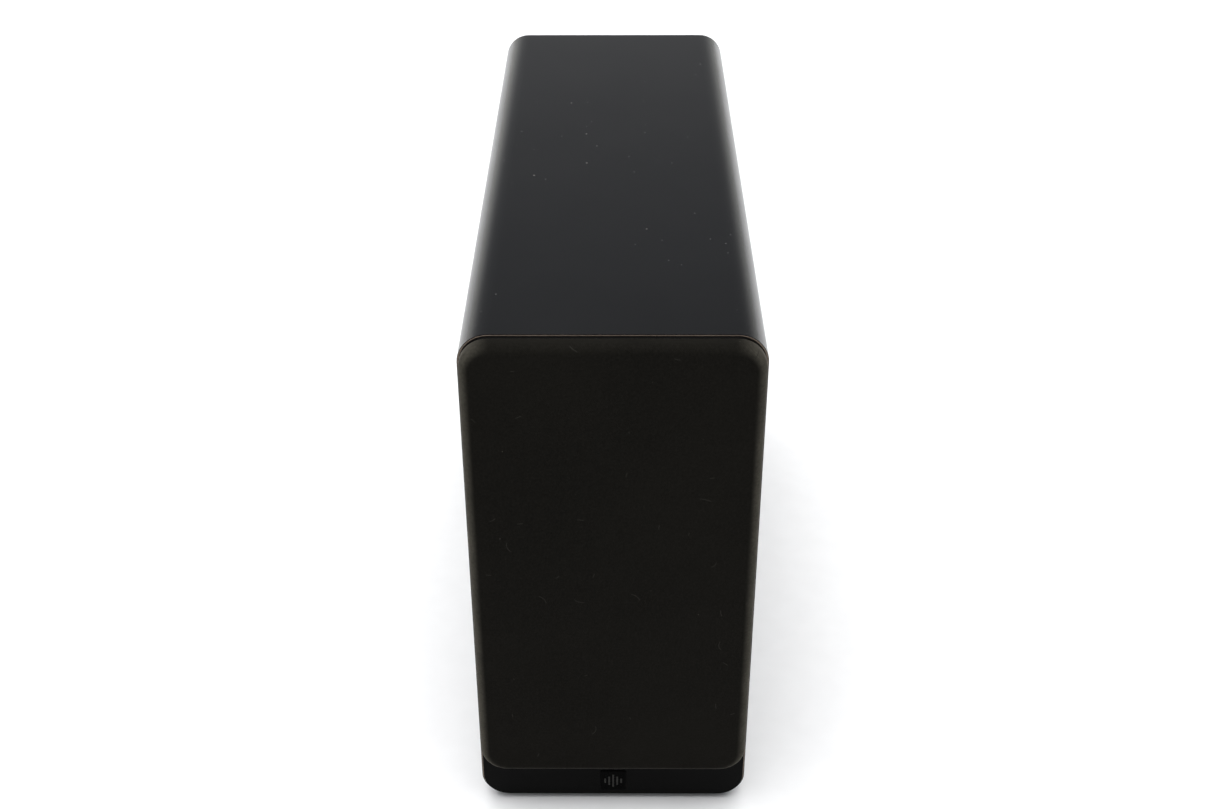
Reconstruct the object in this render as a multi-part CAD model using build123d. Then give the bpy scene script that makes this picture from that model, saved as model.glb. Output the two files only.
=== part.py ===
from build123d import *
import math
import os

# Two-way passive bookshelf speaker with a slim, deep cabinet.
# The front faces -Y, +Z is up. The origin is the centre of the overall footprint, on the
# surface that the feet stand on. All lengths are in millimetres.

# Cabinet
WIDTH = 170.0
HEIGHT = 347.0
DEPTH = 474.0
EDGE_R = 17.6
WRAP_T = 0.4
WALL_T = 12.0
BAFFLE_T = 18.0
REAR_T = 15.0
BRACE_T = 12.0
BRACE_BORDER = 14.0
FOOT_H = 4.0
FOOT_R = 9.0
FOOT_X = 58.0
FOOT_INSET_Y = 34.0

# Front: fascia, grille and badge
FASCIA_T = 1.6
FASCIA_INSET = 1.0
GRILLE_PROUD = 12.0
GRILLE_INSET = 1.2
GRILLE_GAP = 0.4
GRILLE_CLOTH_T = 0.6
GRILLE_ROUND = 5.6
GRILLE_BOTTOM = 31.0
GRILLE_BORDER = 14.0
GRILLE_BAR = 10.0
MAGNET_R = 3.5
MAGNET_T = 2.0
MAGNET_X = 78.6
BADGE = 17.0
BADGE_Z = 13.7
BADGE_T = 1.0
BADGE_PROUD = 0.6

# Rear: terminal cup and port
REAR_FLANGE_T = 2.5
CUP_W = 96.0
CUP_H = 76.0
CUP_RECESS_W = 74.0
CUP_RECESS_H = 46.0
CUP_RECESS_D = 24.0
CUP_WALL = 2.5
CUP_Z = 112.0
PORT_R = 25.0
PORT_WALL = 2.0
PORT_LENGTH = 150.0
PORT_FLANGE_R = 42.0
PORT_Z = 268.0

# Binding posts
POST_SPACING = 19.0
STUD_R = 3.0
BANANA_R = 2.05
BANANA_DEPTH = 18.0
CAP_R = 6.6
CAP_LENGTH = 13.0
RUNNING_GAP = 0.05

# Drivers, measured from the front face of the fascia, outward positive
WOOFER_Z = 132.0
WOOFER_FLANGE_R = 68.0
WOOFER_SCREWS = 6
WOOFER_SCREW_PCR = 63.5
TWEETER_Z = 262.0
TWEETER_FLANGE_R = 45.0
TWEETER_SCREWS = 4
TWEETER_SCREW_PCR = 39.5
DRIVER_GAP = 0.4

# Crossover, on a board that the binding posts clamp to the back of the terminal cup
BOARD_W = 92.0
BOARD_H = 120.0
BOARD_T = 1.6
BOARD_LOW = 72.0
NUT_T = 4.0
BLOCK_X = -26.0
BLOCK_Z = 80.0
BLOCK_L = 10.0

# Cables
CABLE_R = 1.6
CABLE_RUN_Z = 54.0
WOOFER_CABLE_X = -20.0
TWEETER_CABLE_X = -32.0

# Damping
PAD_T = 11.0
PAD_LOW = 62.0

# Stand inserts in the underside
INSERT_X = 45.0
INSERT_Y = 60.0
INSERT_R = 4.0
INSERT_TAP_R = 2.5

OVERALL = GRILLE_PROUD + DEPTH + REAR_FLANGE_T
Y_EDGE = -OVERALL / 2 + GRILLE_PROUD
Y_REAR = Y_EDGE + DEPTH
Y_FASCIA = Y_EDGE - FASCIA_T
Z_BASE = FOOT_H
Z_TOP = FOOT_H + HEIGHT
Z_MID = FOOT_H + HEIGHT / 2
INNER = WRAP_T + WALL_T
FLOOR_Z = Z_BASE + INNER
BRACE_YS = (-90.0, 60.0)


def outline(inset, y, length, radius=None):
    """A solid with the cabinet's outline drawn in by inset, from y over length towards the back."""
    corner = EDGE_R - inset if radius is None else radius
    face = RectangleRounded(WIDTH - 2 * inset, HEIGHT - 2 * inset, corner)
    return extrude(Plane.XZ.offset(-y) * Pos(0, Z_MID) * face, -length)


def block(x0, x1, y0, y1, z0, z1):
    """A box between opposite corners."""
    centre = Pos((x0 + x1) / 2, (y0 + y1) / 2, (z0 + z1) / 2)
    return centre * Box(x1 - x0, y1 - y0, z1 - z0)


def rounded_plate(width, height, radius, y0, y1, z, x=0.0):
    """A plate standing upright, with rounded corners, between y0 and y1."""
    face = RectangleRounded(width, height, radius)
    return extrude(Plane.XZ.offset(-y0) * Pos(x, z) * face, -(y1 - y0))


def turned(points):
    """A solid of revolution about +Z from (radius, height) points."""
    lines = Polyline(*[(r, 0, h) for r, h in points], close=True)
    return revolve(make_face(lines), Axis.Z, 360)


def rod_y(radius, y0, y1, x, z):
    """A cylinder along Y."""
    placed = Pos(x, (y0 + y1) / 2, z) * Rot(90, 0, 0)
    return placed * Cylinder(radius, abs(y1 - y0))


def on_front(part, z, x=0.0):
    """Places a part made with +Z outward and z = 0 at the fascia's front face."""
    return Pos(x, Y_FASCIA, z) * Rot(90, 0, 0) * part


def on_rear(part, z, x=0.0):
    """Places a part made with +Z outward and z = 0 at the rear panel's outer face."""
    return Pos(x, Y_REAR, z) * Rot(-90, 0, 0) * part


def ring_of(shape, count, radius, start=0.0):
    """Copies of a shape on a circle about Z."""
    copies = []
    for i in range(count):
        angle = start + 360 * i / count
        copies.append(Rot(0, 0, angle) * Pos(radius, 0, 0) * shape)
    return copies


def screw(head_r, head_t, shank_r, length, key_r, key_depth):
    """A socket screw pointing down -Z with the top of its head at z = 0."""
    head = Pos(0, 0, -head_t / 2) * Cylinder(head_r, head_t)
    shank = Pos(0, 0, -head_t - length / 2) * Cylinder(shank_r, length)
    key = extrude(RegularPolygon(key_r, 6), -key_depth)
    return chamfer(head.edges().group_by(Axis.Z)[-1], 0.3) + shank - key


def wire(points, radii, radius):
    """A round cable along straight runs joined by tangent arcs."""
    path = FilletPolyline(*points, radius=radii)
    section = Plane(origin=path @ 0, z_dir=path % 0) * Circle(radius)
    return sweep(section, path=path)


# Cabinet ------------------------------------------------------------------------------


def cabinet_wrap():
    """The thin printed foil around the sleeve's outside."""
    body = outline(0, Y_EDGE, DEPTH) - outline(WRAP_T, Y_EDGE, DEPTH)
    for x, y in insert_places():
        body -= Pos(x, y, Z_BASE) * Cylinder(INSERT_R, 4 * WRAP_T)
    return body


def cabinet_sleeve():
    body = outline(WRAP_T, Y_EDGE, DEPTH) - outline(INNER, Y_EDGE, DEPTH)
    for x, z in magnet_places():
        body -= rod_y(MAGNET_R, Y_EDGE, Y_EDGE + MAGNET_T, x, z)
    for x, y in insert_places():
        body -= Pos(x, y, Z_BASE + INNER / 2) * Cylinder(INSERT_R, INNER)
    return body


def front_baffle():
    body = outline(INNER, Y_EDGE, BAFFLE_T)
    woofer_seat = 6.0 - FASCIA_T
    body -= rod_y(WOOFER_FLANGE_R + DRIVER_GAP, Y_EDGE, Y_EDGE + woofer_seat, 0, WOOFER_Z)
    body -= rod_y(58.5, Y_EDGE, Y_EDGE + BAFFLE_T, 0, WOOFER_Z)
    tweeter_seat = 3.5 - FASCIA_T
    body -= rod_y(TWEETER_FLANGE_R + DRIVER_GAP, Y_EDGE, Y_EDGE + tweeter_seat, 0, TWEETER_Z)
    body -= rod_y(34.0, Y_EDGE, Y_EDGE + BAFFLE_T, 0, TWEETER_Z)
    for x, z in around(WOOFER_SCREWS, WOOFER_SCREW_PCR, WOOFER_Z):
        body -= rod_y(2.05, Y_EDGE, Y_EDGE + 17, x, z)
    for x, z in around(TWEETER_SCREWS, TWEETER_SCREW_PCR, TWEETER_Z, 45):
        body -= rod_y(1.65, Y_EDGE, Y_EDGE + 15, x, z)
    return body


def around(count, radius, z, start=30.0):
    """Positions (x, z) of holes on a circle about a driver's axis."""
    places = []
    for i in range(count):
        angle = math.radians(start + 360 * i / count)
        places.append((radius * math.cos(angle), z + radius * math.sin(angle)))
    return places


def rear_panel():
    body = outline(INNER, Y_REAR - REAR_T, REAR_T)
    cup_hole = rounded_plate(
        CUP_RECESS_W + 2 * CUP_WALL + 1, CUP_RECESS_H + 2 * CUP_WALL + 1, 6, Y_REAR - REAR_T, Y_REAR, CUP_Z
    )
    body -= cup_hole
    body -= rod_y(PORT_R + 6.0, Y_REAR - REAR_T, Y_REAR, 0, PORT_Z)
    for x, z in cup_screw_places() + port_screw_places():
        body -= rod_y(1.65, Y_REAR - 12, Y_REAR, x, z)
    return body


def brace(y):
    body = outline(INNER, y - BRACE_T / 2, BRACE_T)
    window = outline(INNER + BRACE_BORDER, y - BRACE_T / 2, BRACE_T, radius=12)
    return body - window


def foot(x_side, y_side):
    disc = Pos(0, 0, FOOT_H / 2) * Cylinder(FOOT_R, FOOT_H)
    disc = fillet(disc.edges().group_by(Axis.Z)[0], 1.0)
    mid = (Y_EDGE + Y_REAR) / 2
    return Pos(x_side * FOOT_X, mid + y_side * (DEPTH / 2 - FOOT_INSET_Y), 0) * disc


def insert_places():
    return [(sx * INSERT_X, sy * INSERT_Y) for sx in (-1, 1) for sy in (-1, 1)]


def stand_inserts():
    shapes = []
    for x, y in insert_places():
        sleeve = Cylinder(INSERT_R, INNER) - Cylinder(INSERT_TAP_R, INNER)
        shapes.append(Pos(x, y, Z_BASE + INNER / 2) * sleeve)
    return Compound(children=shapes)


# Front trim ---------------------------------------------------------------------------


def fascia():
    body = outline(FASCIA_INSET, Y_FASCIA, FASCIA_T)
    front_edges = body.edges().group_by(Axis.Y)[0]
    body = fillet(front_edges, 0.5)
    body -= rod_y(WOOFER_FLANGE_R + DRIVER_GAP, Y_FASCIA, Y_EDGE, 0, WOOFER_Z)
    body -= rod_y(TWEETER_FLANGE_R + DRIVER_GAP, Y_FASCIA, Y_EDGE, 0, TWEETER_Z)
    depth = BADGE_T - BADGE_PROUD
    recess = rounded_plate(BADGE + 0.2, BADGE + 0.2, 1.6, Y_FASCIA, Y_FASCIA + depth, Z_BASE + BADGE_Z)
    return body - recess


def badge_plate():
    front = Y_FASCIA - BADGE_PROUD
    plate = rounded_plate(BADGE, BADGE, 1.5, front, front + BADGE_T, Z_BASE + BADGE_Z)
    return chamfer(plate.edges().group_by(Axis.Y)[0], 0.3)


def badge_emblem():
    """Five plain upright bars, tallest in the middle, standing on the badge plate."""
    front = Y_FASCIA - BADGE_PROUD
    bars = []
    for i, length in enumerate((4.0, 7.5, 11.0, 7.5, 4.0)):
        x = (i - 2) * 2.6
        bars.append(rounded_plate(1.2, length, 0.55, front - 0.25, front, Z_BASE + BADGE_Z, x))
    return Compound(children=bars)


def magnet_places():
    rows = (Z_BASE + GRILLE_BOTTOM + 26, Z_MID + 20, Z_TOP - 26)
    return [(sx * MAGNET_X, z) for sx in (-1, 1) for z in rows]


def cabinet_magnets():
    discs = [rod_y(MAGNET_R, Y_EDGE, Y_EDGE + MAGNET_T, x, z) for x, z in magnet_places()]
    return Compound(children=discs)


GRILLE_BACK = Y_FASCIA - GRILLE_GAP
GRILLE_FRONT = Y_EDGE - GRILLE_PROUD
GRILLE_W = WIDTH - 2 * GRILLE_INSET
GRILLE_H = HEIGHT - GRILLE_INSET - GRILLE_BOTTOM
GRILLE_Z = Z_BASE + GRILLE_BOTTOM + GRILLE_H / 2
GRILLE_R = EDGE_R - GRILLE_INSET


def grille_block(inset):
    """The grille's outer form drawn in by inset, with its front edge rounded."""
    width = GRILLE_W - 2 * inset
    height = GRILLE_H - 2 * inset
    front = GRILLE_FRONT + inset
    body = rounded_plate(width, height, GRILLE_R - inset, front, GRILLE_BACK, GRILLE_Z)
    return fillet(body.edges().group_by(Axis.Y)[0], GRILLE_ROUND - inset)


def grille_openings(front, back):
    """The two holes in the grille's frame, above and below its crossbar."""
    width = GRILLE_W - 2 * GRILLE_BORDER
    low = GRILLE_Z - GRILLE_H / 2 + GRILLE_BORDER
    high = GRILLE_Z + GRILLE_H / 2 - GRILLE_BORDER
    bar = (WOOFER_Z + WOOFER_FLANGE_R + TWEETER_Z - TWEETER_FLANGE_R) / 2
    holes = []
    for z0, z1 in ((low, bar - GRILLE_BAR / 2), (bar + GRILLE_BAR / 2, high)):
        holes.append(rounded_plate(width, z1 - z0, 9, front, back, (z0 + z1) / 2))
    return holes


def grille_frame():
    body = grille_block(GRILLE_CLOTH_T)
    body -= grille_openings(GRILLE_FRONT, GRILLE_BACK)
    bar = (WOOFER_Z + WOOFER_FLANGE_R + TWEETER_Z - TWEETER_FLANGE_R) / 2
    inside = GRILLE_W / 2 - GRILLE_BORDER
    body -= block(-inside, inside, GRILLE_FRONT, GRILLE_FRONT + 3.5, bar - 8, bar + 8)
    for x, z in magnet_places():
        body -= rod_y(MAGNET_R, GRILLE_BACK - MAGNET_T, GRILLE_BACK, x, z)
    return body


def grille_magnets():
    discs = [rod_y(MAGNET_R, GRILLE_BACK - MAGNET_T, GRILLE_BACK, x, z) for x, z in magnet_places()]
    return Compound(children=discs)


def grille_cloth():
    """The cloth over the frame's front and sides."""
    return grille_block(0) - grille_block(GRILLE_CLOTH_T)


# Woofer -------------------------------------------------------------------------------


def woofer_basket():
    profile = [
        (56.5, 0.5), (68.0, 0.5), (68.0, -4.5), (58.0, -4.5), (45.0, -31.5), (45.0, -36.5),
        (37.0, -36.5), (37.0, -46.0), (18.0, -46.0), (18.0, -43.5), (34.5, -43.5),
        (34.5, -34.0), (42.0, -34.0), (42.0, -31.0), (54.0, -6.0), (54.0, -1.5), (56.5, -1.5),
    ]
    body = turned(profile)
    window = Pos(50, 0, -18) * Box(40, 34, 20)
    for shape in ring_of(window, 6, 0):
        body -= shape
    side_vent = Pos(36, 0, -40) * Box(10, 12, 4)
    for shape in ring_of(side_vent, 6, 0):
        body -= shape
    seat = Pos(0, 0, -0.75) * Cylinder(3.9, 2.5)
    hole = Pos(0, 0, -2) * Cylinder(2.2, 6)
    for shape in ring_of(seat + hole, WOOFER_SCREWS, WOOFER_SCREW_PCR, 30):
        body -= shape
    return body


def woofer_gasket():
    body = turned([(59.0, -6.0), (67.5, -6.0), (67.5, -4.5), (59.0, -4.5)])
    hole = Pos(0, 0, -5) * Cylinder(2.2, 4)
    for shape in ring_of(hole, WOOFER_SCREWS, WOOFER_SCREW_PCR, 30):
        body -= shape
    return body


def woofer_screws():
    one = Pos(0, 0, 0.3) * screw(3.6, 2.3, 2.0, 14, 1.5, 1.4)
    return Compound(children=ring_of(one, WOOFER_SCREWS, WOOFER_SCREW_PCR, 30))


def roll_profile(r_in, r_out, base, roll, thick, land_in, land_out):
    """A half-roll surround's section with a flat land on each side."""
    mid = (r_in + r_out) / 2
    span = (r_out - r_in) / 2
    outer = []
    inner = []
    for i in range(13):
        angle = math.pi * i / 12
        outer.append((mid + span * math.cos(angle), base + thick + roll * math.sin(angle)))
        inner.append((mid + (span - thick) * math.cos(angle), base + roll * math.sin(angle)))
    outer_land = [(land_out, base), (land_out, base + thick)]
    inner_land = [(land_in, base + thick), (land_in, base)]
    return outer_land + outer + inner_land + inner[::-1]


def woofer_surround():
    return turned(roll_profile(46.0, 54.4, -1.5, 4.2, 0.7, 43.5, 56.3))


def woofer_cone():
    outer = []
    inner = []
    for i in range(9):
        t = i / 8
        radius = 13.0 + 30.0 * t
        height = -24.0 + 22.5 * (0.72 * t + 0.28 * t ** 0.5)
        outer.append((radius, height))
        inner.append((radius, height - 0.9))
    outer.append((46.0, -1.5))
    inner.append((46.0, -2.4))
    return turned(outer + inner[::-1])


def dome_shell(radius, thick, half_angle, centre):
    """A spherical cap with an even wall, opening towards -Z."""
    outer = []
    inner = []
    for i in range(11):
        angle = math.radians(half_angle) * i / 10
        outer.append((radius * math.sin(angle), centre + radius * math.cos(angle)))
        inner.append(((radius - thick) * math.sin(angle), centre + (radius - thick) * math.cos(angle)))
    return turned(outer + inner[::-1])


def woofer_dust_cap():
    return dome_shell(21.0, 0.6, 56.0, -30.5)


def woofer_coil():
    """The voice coil: a thin former with the wire wound around its lower end."""
    former = turned([(12.7, -57.0), (13.0, -57.0), (13.0, -23.6), (12.7, -23.6)])
    winding = turned([(13.0, -56.0), (13.7, -56.0), (13.7, -42.0), (13.0, -42.0)])
    return former + winding


def woofer_spider():
    upper = [(13.0, -33.0), (16.0, -33.0)]
    count = 6
    pitch = (39.0 - 16.0) / count
    for i in range(count):
        start = 16.0 + i * pitch
        upper += [(start + pitch * 0.25, -31.7), (start + pitch * 0.75, -33.3)]
    upper += [(39.0, -33.4), (41.8, -33.4)]
    lower = [(r, h - 0.6) for r, h in upper[::-1]]
    return turned(upper + lower)


def woofer_top_plate():
    return turned([(14.2, -52.0), (42.0, -52.0), (42.0, -46.0), (14.2, -46.0)])


def woofer_magnet():
    ring = turned([(21.0, -70.0), (45.0, -70.0), (45.0, -52.0), (21.0, -52.0)])
    return chamfer(ring.edges().filter_by(GeomType.CIRCLE).group_by(SortBy.RADIUS)[-1], 1.0)


def woofer_pole():
    profile = [
        (4.0, -76.0), (42.0, -76.0), (42.0, -70.0), (12.2, -70.0), (12.2, -45.0), (4.0, -45.0),
    ]
    return turned(profile)


def woofer_terminals():
    board = Pos(0, -43.0, -40.3) * Box(22, 14, 1.6)
    cup = Pos(0, 0, -40) * Cylinder(37.0, 20)
    return board - cup


# Tweeter ------------------------------------------------------------------------------


def tweeter_faceplate():
    profile = [
        (31.0, 0.0), (45.0, 0.0), (45.0, -3.5), (33.0, -3.5), (33.0, -8.0), (16.0, -8.0),
        (16.0, -5.3), (16.9, -5.3), (16.9, -4.6), (18.0, -3.6), (21.0, -2.2), (25.0, -1.0),
    ]
    body = turned(profile)
    seat = Pos(0, 0, -1.0) * Cylinder(3.2, 2.0)
    hole = Pos(0, 0, -2) * Cylinder(1.8, 6)
    for shape in ring_of(seat + hole, TWEETER_SCREWS, TWEETER_SCREW_PCR, 45):
        body -= shape
    return body


def tweeter_screws():
    one = Pos(0, 0, -0.2) * screw(3.0, 1.8, 1.6, 12, 1.25, 1.1)
    return Compound(children=ring_of(one, TWEETER_SCREWS, TWEETER_SCREW_PCR, 45))


def tweeter_dome():
    return dome_shell(14.9, 0.35, 58.0, -13.1)


def tweeter_surround():
    return turned(roll_profile(12.9, 16.0, -5.3, 1.3, 0.3, 12.64, 16.9))


def tweeter_coil():
    """The tweeter's voice coil, wound on a short former."""
    former = turned([(12.3, -11.0), (12.6, -11.0), (12.6, -5.42), (12.3, -5.42)])
    winding = turned([(12.6, -10.8), (12.9, -10.8), (12.9, -8.3), (12.6, -8.3)])
    return former + winding


def tweeter_top_plate():
    return turned([(13.3, -11.5), (31.0, -11.5), (31.0, -8.0), (13.3, -8.0)])


def tweeter_magnet():
    return turned([(18.0, -21.5), (31.0, -21.5), (31.0, -11.5), (18.0, -11.5)])


def tweeter_pole():
    profile = [(0.0, -24.5), (30.0, -24.5), (30.0, -21.5), (11.9, -21.5), (11.9, -7.5), (0.0, -7.5)]
    return turned(profile)


def tweeter_terminals():
    board = Pos(0, -19.0, -25.3) * Box(18, 11, 1.6)
    return fillet(board.edges().filter_by(Axis.Z), 1.0)


# Rear fittings ------------------------------------------------------------------------


def cup_screw_places():
    return [(sx * (CUP_W / 2 - 6), CUP_Z + sz * (CUP_H / 2 - 6)) for sx in (-1, 1) for sz in (-1, 1)]


def port_screw_places():
    return around(4, PORT_FLANGE_R - 6, PORT_Z, 45)


def post_xs():
    return (-POST_SPACING / 2, POST_SPACING / 2)


CUP_FLOOR_Y = Y_REAR + REAR_FLANGE_T - CUP_RECESS_D
BOARD_BACK_Y = CUP_FLOOR_Y - CUP_WALL
BOARD_FACE_Y = BOARD_BACK_Y - BOARD_T


def terminal_cup():
    flange = rounded_plate(CUP_W, CUP_H, 8, Y_REAR, Y_REAR + REAR_FLANGE_T, CUP_Z)
    flange = fillet(flange.edges().group_by(Axis.Y)[-1], 1.0)
    tub_w = CUP_RECESS_W + 2 * CUP_WALL
    tub_h = CUP_RECESS_H + 2 * CUP_WALL
    tub = rounded_plate(tub_w, tub_h, 6, CUP_FLOOR_Y - CUP_WALL, Y_REAR, CUP_Z)
    recess = rounded_plate(CUP_RECESS_W, CUP_RECESS_H, 5, CUP_FLOOR_Y, Y_REAR + REAR_FLANGE_T, CUP_Z)
    body = flange + tub - recess
    for x in post_xs():
        body -= rod_y(STUD_R, CUP_FLOOR_Y - CUP_WALL, CUP_FLOOR_Y, x, CUP_Z)
    for x, z in cup_screw_places():
        body -= rod_y(1.8, Y_REAR, Y_REAR + REAR_FLANGE_T, x, z)
        body -= rod_y(3.2, Y_REAR + 0.8, Y_REAR + REAR_FLANGE_T, x, z)
    return body


def rear_screws():
    """The screws of the terminal cup's and the port's flanges."""
    one = screw(2.9, 1.7, 1.6, 11, 1.25, 1.0)
    head_y = Y_REAR + REAR_FLANGE_T
    places = cup_screw_places() + port_screw_places()
    shapes = [Pos(x, head_y, z) * Rot(-90, 0, 0) * one for x, z in places]
    return Compound(children=shapes)


def terminal_stud(x):
    """A binding post's stud, clamping the board, with a 4 mm plug socket in its end."""
    end = CUP_FLOOR_Y + 20.0
    stud = rod_y(STUD_R, BOARD_FACE_Y - NUT_T - 2.0, end, x, CUP_Z)
    collar = rod_y(6.0, CUP_FLOOR_Y, CUP_FLOOR_Y + 1.5, x, CUP_Z)
    socket = rod_y(BANANA_R, end - BANANA_DEPTH, end, x, CUP_Z)
    return stud + collar - socket


def clamp_washer(x):
    """The captive washer that presses the wire and doesn't turn with the cap."""
    y0 = CUP_FLOOR_Y + 1.9
    ring = rod_y(5.8, y0, y0 + 1.2, x, CUP_Z)
    return ring - rod_y(STUD_R + RUNNING_GAP, y0, y0 + 1.2, x, CUP_Z)


def terminal_cap(x):
    """A ribbed cap with a through hole for the stud."""
    y0 = CUP_FLOOR_Y + 3.5
    y1 = y0 + CAP_LENGTH
    body = rod_y(CAP_R, y0, y1, x, CUP_Z)
    body = fillet(body.edges().group_by(Axis.Y)[-1], 1.0)
    body -= rod_y(STUD_R + RUNNING_GAP, y0, y1, x, CUP_Z)
    for i in range(18):
        angle = 2 * math.pi * i / 18
        groove_x = x + CAP_R * math.cos(angle)
        groove_z = CUP_Z + CAP_R * math.sin(angle)
        body -= rod_y(0.5, y0 - 1, y1 - 2.5, groove_x, groove_z)
    return body


def terminal_nuts():
    """The two nuts that clamp the board."""
    shapes = []
    for x in post_xs():
        nut = extrude(RegularPolygon(5.8, 6), NUT_T) - Cylinder(STUD_R, 4 * NUT_T)
        shapes.append(Pos(x, BOARD_FACE_Y, CUP_Z) * Rot(90, 0, 0) * nut)
    return Compound(children=shapes)


def port():
    """A moulded reflex port: a flanged, flared mouth and a long tube."""
    throat = 10.0
    mouth = []
    inner_end = []
    for i in range(9):
        angle = math.radians(90) * i / 8
        flare = 1 - math.cos(angle)
        mouth.append((PORT_R + throat * flare, REAR_FLANGE_T - throat + throat * math.sin(angle)))
        inner_end.append((PORT_R + 6 * flare, -PORT_LENGTH + 6 - 6 * math.sin(angle)))
    outside = [
        (PORT_FLANGE_R - 1, REAR_FLANGE_T), (PORT_FLANGE_R, REAR_FLANGE_T - 1), (PORT_FLANGE_R, 0.0),
        (30.5, 0.0), (30.5, -30.0), (PORT_R + PORT_WALL, -34.0), (PORT_R + PORT_WALL, -PORT_LENGTH + 6),
        (PORT_R + 6, -PORT_LENGTH + 2),
    ]
    body = on_rear(turned(mouth + outside + inner_end[::-1]), PORT_Z)
    for x, z in port_screw_places():
        body -= rod_y(1.8, Y_REAR, Y_REAR + REAR_FLANGE_T, x, z)
        body -= rod_y(3.2, Y_REAR + 0.8, Y_REAR + REAR_FLANGE_T, x, z)
    return body


# Crossover ----------------------------------------------------------------------------

def on_board(part, x, z):
    """Places a part made with +Z away from the board's component side and z = 0 on it."""
    return Pos(x, BOARD_FACE_Y, z) * Rot(90, 0, 0) * part


def crossover_board():
    middle = BOARD_LOW + BOARD_H / 2
    body = rounded_plate(BOARD_W, BOARD_H, 3, BOARD_FACE_Y, BOARD_BACK_Y, middle)
    for x in post_xs():
        body -= rod_y(STUD_R, BOARD_FACE_Y, BOARD_BACK_Y, x, CUP_Z)
    return body


def air_coil(radius, core_r, height):
    """A self-supporting air-core inductor, its turns bonded into one ring."""
    ring = Pos(0, 0, height / 2) * (Cylinder(radius, height) - Cylinder(core_r, height))
    return fillet(ring.edges().filter_by(GeomType.CIRCLE), 1.0)


def film_capacitor(radius, length):
    """An axial capacitor lying along X, with its leads bent down into the board."""
    can = Rot(0, 90, 0) * Cylinder(radius, length)
    body = fillet(can.edges().filter_by(GeomType.CIRCLE), 0.8)
    for side in (-1, 1):
        bend = side * (length / 2 + 4)
        path = FilletPolyline(
            (side * (length / 2 - 1), 0, 0), (bend, 0, 0), (bend, 0, -radius), radius=1.5
        )
        body += sweep(Plane(origin=path @ 0, z_dir=path % 0) * Circle(0.45), path=path)
    return Pos(0, 0, radius) * body


def power_resistor():
    body = Pos(0, 0, 4.5) * Box(42, 9, 9)
    return fillet(body.edges().filter_by(Axis.X), 0.8)


def output_block():
    body = Pos(0, 0, BLOCK_L / 2) * Box(24, 9, BLOCK_L)
    return chamfer(body.edges().group_by(Axis.Z)[-1], 0.6)


# Cables -------------------------------------------------------------------------------

BLOCK_FACE_Y = BOARD_FACE_Y - BLOCK_L
WOOFER_END = (0, Y_FASCIA + 40.3, WOOFER_Z - 50.0)
TWEETER_END = (0, Y_FASCIA + 26.1, TWEETER_Z - 20.0)


def woofer_cable():
    end_x, end_y, end_z = WOOFER_END
    points = [
        (WOOFER_CABLE_X, BLOCK_FACE_Y, BLOCK_Z),
        (WOOFER_CABLE_X, BLOCK_FACE_Y - 20, BLOCK_Z),
        (WOOFER_CABLE_X, BLOCK_FACE_Y - 60, CABLE_RUN_Z),
        (WOOFER_CABLE_X, -120, CABLE_RUN_Z),
        (end_x, end_y, 48),
        (end_x, end_y, end_z),
    ]
    return wire(points, [24, 40, 60, 14], CABLE_R)


def tweeter_cable():
    end_x, end_y, end_z = TWEETER_END
    points = [
        (TWEETER_CABLE_X, BLOCK_FACE_Y, BLOCK_Z),
        (TWEETER_CABLE_X, BLOCK_FACE_Y - 20, BLOCK_Z),
        (TWEETER_CABLE_X, BLOCK_FACE_Y - 60, CABLE_RUN_Z),
        (TWEETER_CABLE_X, -128, CABLE_RUN_Z),
        (end_x, -150, end_z),
        (end_x, end_y, end_z),
    ]
    return wire(points, [24, 40, 28, 26], CABLE_R)


def cable_clips():
    """Saddles on the braces' lower rails that carry both cables through the windows."""
    rail = FLOOR_Z + BRACE_BORDER
    shapes = []
    for y in BRACE_YS:
        left = TWEETER_CABLE_X - 5
        right = WOOFER_CABLE_X + 5
        body = block(left, right, y - 5, y + 5, rail, CABLE_RUN_Z + 4)
        body = fillet(body.edges().filter_by(Axis.Y).group_by(Axis.Z)[-1], 3)
        for x in (WOOFER_CABLE_X, TWEETER_CABLE_X):
            body -= rod_y(CABLE_R, y - 5, y + 5, x, CABLE_RUN_Z)
        shapes.append(body)
    return Compound(children=shapes)


# Damping ------------------------------------------------------------------------------


def damping_lining():
    """One strip of wadding along the left wall, the top and the right wall of the middle chamber."""
    y0 = BRACE_YS[0] + BRACE_T / 2 + 4
    y1 = BRACE_YS[1] - BRACE_T / 2 - 4
    strip = outline(INNER, y0, y1 - y0) - outline(INNER + PAD_T, y0, y1 - y0, radius=14)
    strip -= block(-WIDTH, WIDTH, y0, y1, 0, PAD_LOW)
    return fillet(strip.edges().group_by(Axis.Z)[0].filter_by(Axis.Y), PAD_T * 0.4)


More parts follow.
